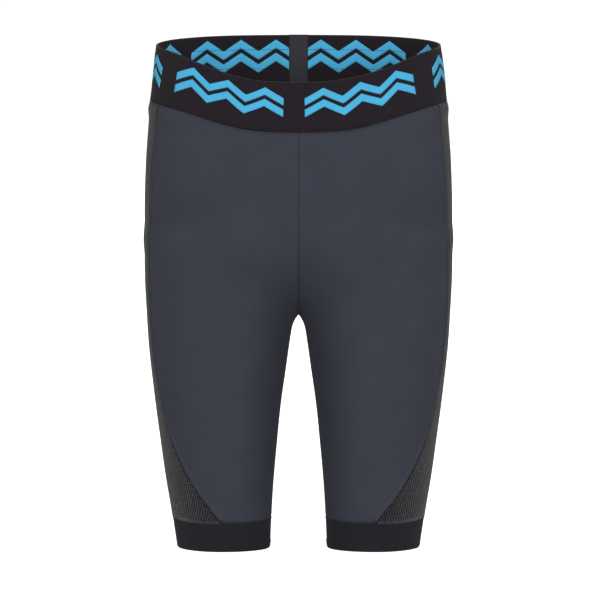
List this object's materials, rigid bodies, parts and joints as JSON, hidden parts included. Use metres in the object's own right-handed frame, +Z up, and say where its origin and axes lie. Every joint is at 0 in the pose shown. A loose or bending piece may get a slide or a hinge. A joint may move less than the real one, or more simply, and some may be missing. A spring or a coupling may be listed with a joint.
{
  "type": "padded impact shorts",
  "caption": "Knee-length stretch shorts with a wide elastic waistband, mesh side panels, foam hip, thigh and tailbone pads, and elastic leg cuffs.",
  "frame": {"origin": "on the plane that both leg hems stand on, midway between the sides and midway between the front and the back", "axes": "+Z up to the waist, -Y out of the front, +X to the wearer's left"},
  "size_m": [0.325, 0.2422, 0.532],
  "materials": {
    "shell_fabric": "matte smooth stretch knit",
    "mesh_fabric": "matte perforated knit",
    "waist_elastic": "woven ribbed elastic",
    "cover_fabric": "matte woven tape",
    "cuff_elastic": "matte knitted elastic",
    "grip_silicone": "satin",
    "seam_tape": "matte narrow tape",
    "seam_thread": "overlocked thread",
    "lining": "fine mesh lining",
    "pad_foam": "matte closed-cell foam",
    "label_satin": "satin, blank"
  },
  "bodies": {
    "root": {"back_panel_left": "shell_fabric", "back_panel_right": "shell_fabric", "care_label": "label_satin", "centre_back_seam": "seam_thread", "centre_front_seam": "seam_thread", "crotch_gusset": "shell_fabric", "cuff_grip_left": "grip_silicone", "cuff_grip_right": "grip_silicone", "cuff_seam_left": "seam_thread", "cuff_seam_right": "seam_thread", "front_panel_left": "shell_fabric", "front_panel_right": "shell_fabric", "gusset_seam_back_left": "seam_thread", "gusset_seam_back_right": "seam_thread", "gusset_seam_front_left": "seam_thread", "gusset_seam_front_right": "seam_thread", "hip_pad_left": "pad_foam", "hip_pad_pocket_left": "lining", "hip_pad_pocket_right": "lining", "hip_pad_right": "pad_foam", "inseam_left": "seam_thread", "inseam_right": "seam_thread", "leg_cuff_left": "cuff_elastic", "leg_cuff_right": "cuff_elastic", "side_panel_left": "mesh_fabric", "side_panel_right": "mesh_fabric", "side_seam_tape_back_left": "seam_tape", "side_seam_tape_back_right": "seam_tape", "side_seam_tape_front_left": "seam_tape", "side_seam_tape_front_right": "seam_tape", "tailbone_pad": "pad_foam", "tailbone_pad_pocket": "lining", "thigh_pad_left": "pad_foam", "thigh_pad_pocket_left": "lining", "thigh_pad_pocket_right": "lining", "thigh_pad_right": "pad_foam", "waist_seam": "seam_thread", "waistband": "waist_elastic", "waistband_join_cover": "cover_fabric"}
  },
  "joints": []
}
